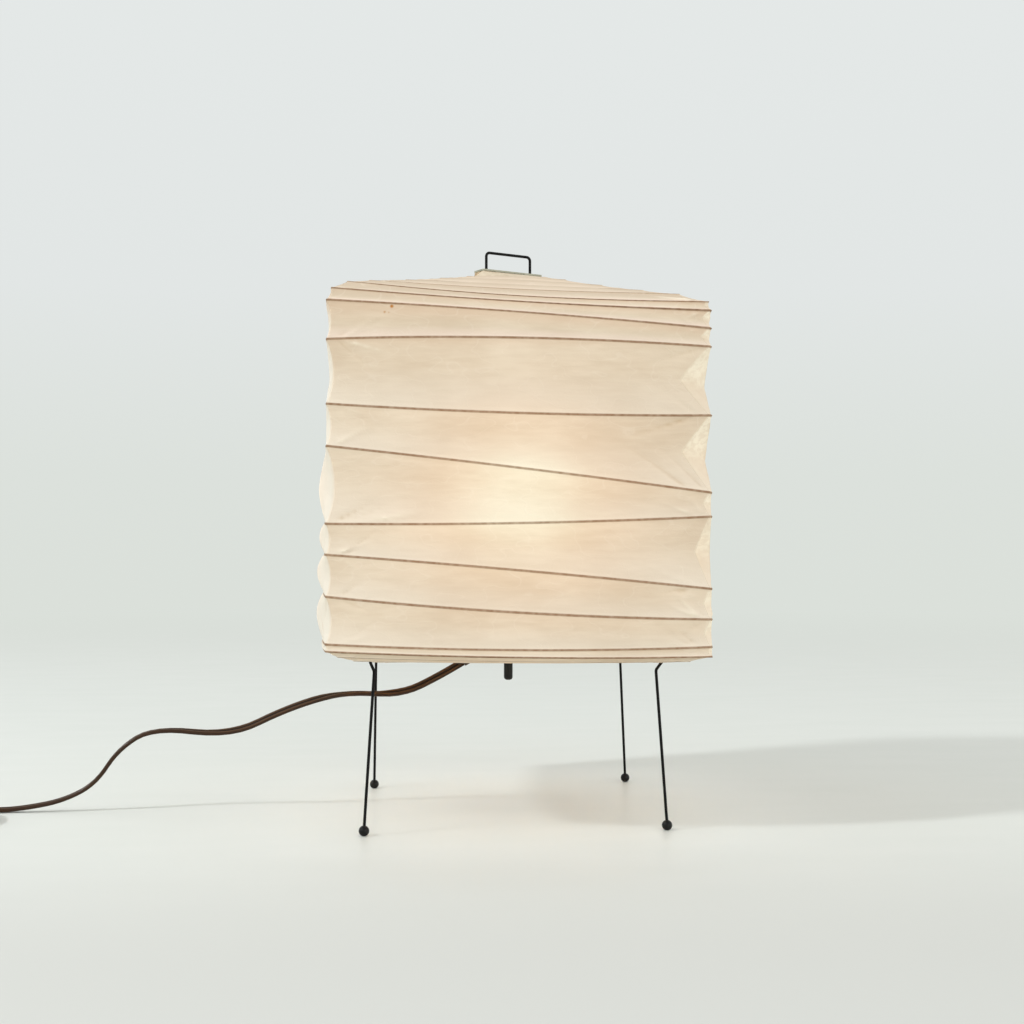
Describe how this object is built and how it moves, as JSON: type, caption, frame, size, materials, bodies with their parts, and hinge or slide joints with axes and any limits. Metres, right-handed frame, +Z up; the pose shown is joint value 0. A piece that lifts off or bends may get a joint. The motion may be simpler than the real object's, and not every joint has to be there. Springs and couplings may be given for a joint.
{
  "type": "paper lantern table lamp",
  "caption": "Square paper lantern lamp on bent wire legs: rib-wound shade, wire handle, bulb in a switched holder and a flat lead with a plug.",
  "frame": {"origin": "on the floor below the middle of the shade, between the four feet", "axes": "+Z up, -Y towards the front, +X to the right seen from the front; the lead leaves towards -X"},
  "size_m": [0.5945, 0.2803, 0.4025],
  "materials": {
    "paper": "thin washi paper, lit from inside",
    "bamboo": "split bamboo",
    "black_wire": "satin black",
    "black_ball": "satin black",
    "hoop_steel": "wrapped in paper",
    "hub_steel": "satin black",
    "plate_steel": "grey",
    "board": "paperboard",
    "holder_plastic": "phenolic",
    "relief_rubber": "moulded",
    "ceramic": "unglazed",
    "brass": "plain",
    "screw_steel": "zinc plated",
    "knob_plastic": "olive black",
    "bulb_metal": "plain",
    "bulb_black_glass": "black",
    "bulb_glass": "clear",
    "filament": "glowing tungsten",
    "cord_brown": "flat twin lead, satin",
    "tie": "paper covered wire",
    "plug_plastic": "moulded",
    "plug_brass": "plain"
  },
  "bodies": {
    "stand": {"roof_paper_front": "paper", "side_paper_front": "paper", "underside_paper_front": "paper", "roof_paper_right": "paper", "side_paper_right": "paper", "underside_paper_right": "paper", "roof_paper_back": "paper", "side_paper_back": "paper", "underside_paper_back": "paper", "roof_paper_left": "paper", "side_paper_left": "paper", "underside_paper_left": "paper", "bamboo_rib": "bamboo", "leg_front_left": "black_wire", "foot_front_left": "black_ball", "leg_front_right": "black_wire", "foot_front_right": "black_ball", "leg_back_left": "black_wire", "foot_back_left": "black_ball", "leg_back_right": "black_wire", "foot_back_right": "black_ball", "bottom_hoop": "hoop_steel", "hub_plate": "hub_steel", "stretcher_left": "black_wire", "stretcher_right": "black_wire", "handle": "black_wire", "switch_housing": "holder_plastic", "cord_strain_relief": "relief_rubber", "holder_base": "holder_plastic", "holder_shell": "holder_plastic", "insulating_disc": "ceramic", "centre_contact": "brass", "side_contact": "brass", "screw_shell": "brass", "fixing_screws": "screw_steel", "contact_springs": "brass", "terminal_screws": "brass", "bulb_cap": "bulb_metal", "bulb_cap_insulator": "bulb_black_glass", "bulb_tip_contact": "brass", "bulb_glass": "bulb_glass", "bulb_stem": "bulb_glass", "bulb_support_wires": "bulb_metal", "bulb_filament": "filament", "cord_free": "cord_brown", "cord_coil": "cord_brown", "cord_tie": "tie", "plug_strain_relief": "plug_plastic", "plug_body": "plug_plastic", "plug_blades": "plug_brass"},
    "switch": {"switch_shaft": "brass", "switch_knob": "knob_plastic", "switch_rotor": "knob_plastic"},
    "shade_top": {"top_plate": "plate_steel", "top_collar": "board"}
  },
  "joints": [
    {"name": "switch_knob_turn", "type": "hinge", "parent": "stand", "child": "switch", "pos_m": [0, 0, 0.0918], "axis": [0, 0, 1], "continuous": true},
    {"name": "shade_collapse", "type": "slide", "parent": "stand", "child": "shade_top", "axis": [0, 0, -1], "range_m": [0, 0.12], "deforming": ["roof_paper_front", "side_paper_front", "underside_paper_front", "roof_paper_right", "side_paper_right", "underside_paper_right", "roof_paper_back", "side_paper_back", "underside_paper_back", "roof_paper_left", "side_paper_left", "underside_paper_left", "bamboo_rib"]}
  ]
}
